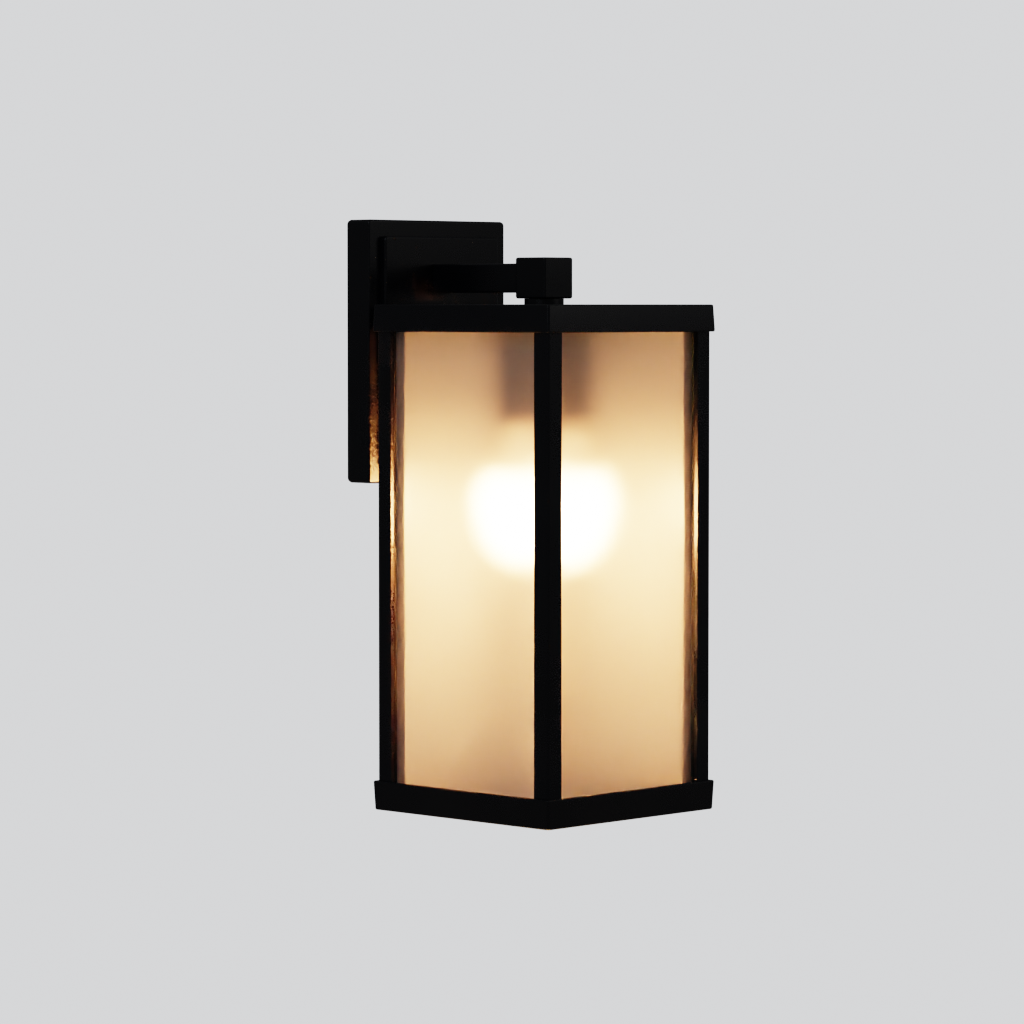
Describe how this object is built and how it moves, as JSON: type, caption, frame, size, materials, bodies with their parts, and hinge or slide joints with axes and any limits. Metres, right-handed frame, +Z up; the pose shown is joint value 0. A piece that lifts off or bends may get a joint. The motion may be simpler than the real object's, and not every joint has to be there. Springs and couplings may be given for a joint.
{
  "type": "outdoor wall lantern",
  "caption": "Square box lantern with frosted glass sides and an open bottom, hung from a short arm on a raised rectangular wall plate.",
  "frame": {"origin": "middle of the mounting bracket's back face, on the wall", "axes": "+Y points into the wall, +Z is up, +X is to the right for someone who faces the wall; the front faces -Y"},
  "size_m": [0.1664, 0.208, 0.405],
  "materials": {
    "black_paint": "satin powder coat",
    "frosted_glass": "acid-etched, frosted",
    "lamp_glass": "soft white, inside-coated, lit",
    "black_rubber": "matte foam",
    "zinc_steel": "zinc plated",
    "brass": "bright",
    "nickel": "nickel plated",
    "porcelain": "glazed white",
    "vitrite": "black, glossy",
    "green_steel": "green plated",
    "green_pvc": "smooth",
    "black_pvc": "smooth",
    "white_pvc": "smooth",
    "orange_plastic": "moulded"
  },
  "bodies": {
    "fixture": {"mounting_bracket": "zinc_steel", "wall_gasket": "black_rubber", "back_plate": "black_paint", "plate_screw_upper": "black_paint", "plate_screw_lower": "black_paint", "bracket_ground_screw": "green_steel", "plate_ground_screw": "green_steel", "ground_wire": "green_pvc", "arm_tube": "black_paint", "arm_pipe": "zinc_steel", "arm_pipe_washer": "zinc_steel", "arm_pipe_nut": "zinc_steel", "hub": "black_paint", "hub_collar": "black_paint", "nipple": "zinc_steel", "nipple_washer": "zinc_steel", "nipple_nut": "zinc_steel", "cap": "black_paint", "top_plate": "zinc_steel", "bottom_rim": "black_paint", "socket_cup": "black_paint", "socket_insulator": "porcelain", "socket_shell": "brass", "socket_centre_contact": "brass", "terminal_screw_line": "brass", "terminal_screw_neutral": "nickel", "lead_line": "black_pvc", "lead_neutral": "white_pvc", "wire_connector_line": "orange_plastic", "wire_connector_neutral": "orange_plastic", "post_rear_right": "black_paint", "glass_retainer_rear_right": "black_paint", "top_screw_rear_right": "zinc_steel", "rim_screw_rear_right": "black_paint", "post_rear_left": "black_paint", "glass_retainer_rear_left": "black_paint", "top_screw_rear_left": "zinc_steel", "rim_screw_rear_left": "black_paint", "post_front_left": "black_paint", "glass_retainer_front_left": "black_paint", "top_screw_front_left": "zinc_steel", "rim_screw_front_left": "black_paint", "post_front_right": "black_paint", "glass_retainer_front_right": "black_paint", "top_screw_front_right": "zinc_steel", "rim_screw_front_right": "black_paint", "glass_front": "frosted_glass", "glazing_seal_front": "black_rubber", "glass_right": "frosted_glass", "glazing_seal_right": "black_rubber", "glass_rear": "frosted_glass", "glazing_seal_rear": "black_rubber", "glass_left": "frosted_glass", "glazing_seal_left": "black_rubber"},
    "lamp": {"lamp_tip_contact": "nickel", "lamp_insulator": "vitrite", "lamp_base": "nickel", "lamp_globe": "lamp_glass"}
  },
  "joints": [
    {"name": "lamp_out", "type": "slide", "parent": "fixture", "child": "lamp", "axis": [0, 0, -1], "range_m": [0, 0.3]}
  ]
}
